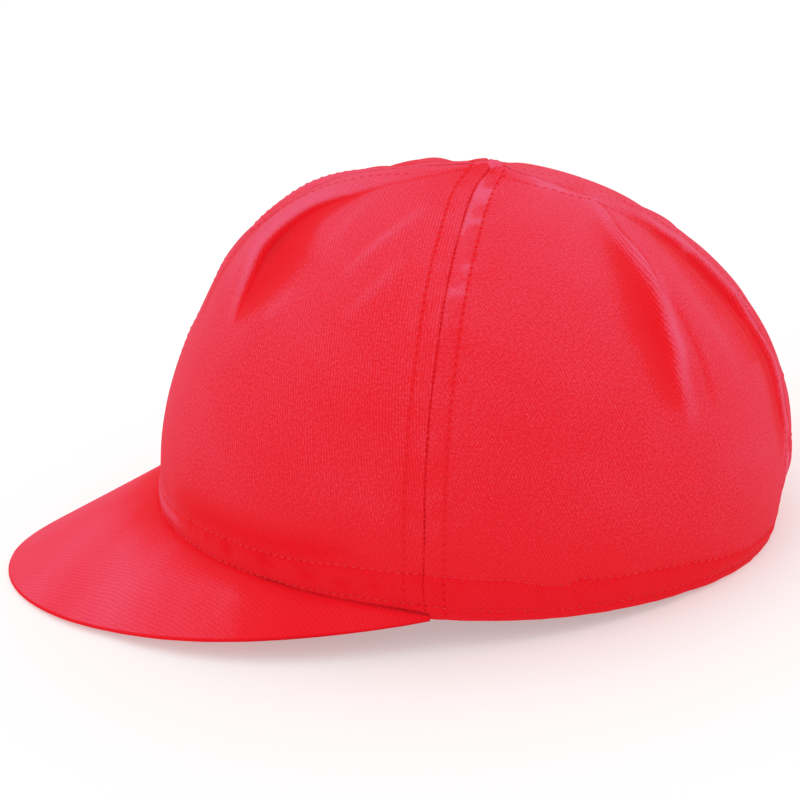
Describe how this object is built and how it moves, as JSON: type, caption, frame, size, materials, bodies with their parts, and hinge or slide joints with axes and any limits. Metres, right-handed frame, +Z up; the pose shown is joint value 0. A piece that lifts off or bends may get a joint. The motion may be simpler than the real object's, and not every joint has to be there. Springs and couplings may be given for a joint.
{
  "type": "cycling cap",
  "caption": "Soft cotton cycling cap with a puffed crown of sewn panels, a turned-in hem and a short curved peak that slopes down.",
  "frame": {"origin": "middle of the cap's length and width, on the surface that it rests on", "axes": "+Y from the tip of the peak towards the back of the head, +X towards the wearer's left, +Z up"},
  "size_m": [0.1778, 0.267, 0.1302],
  "materials": {
    "crown_cloth": "red cotton twill",
    "hem_cloth": "red cotton twill",
    "peak_cloth": "red cotton twill over a stiffener"
  },
  "bodies": {
    "root": {"front_left_panel": "crown_cloth", "front_right_panel": "crown_cloth", "back_left_panel": "crown_cloth", "back_right_panel": "crown_cloth", "hem_band": "hem_cloth", "peak": "peak_cloth"}
  },
  "joints": []
}
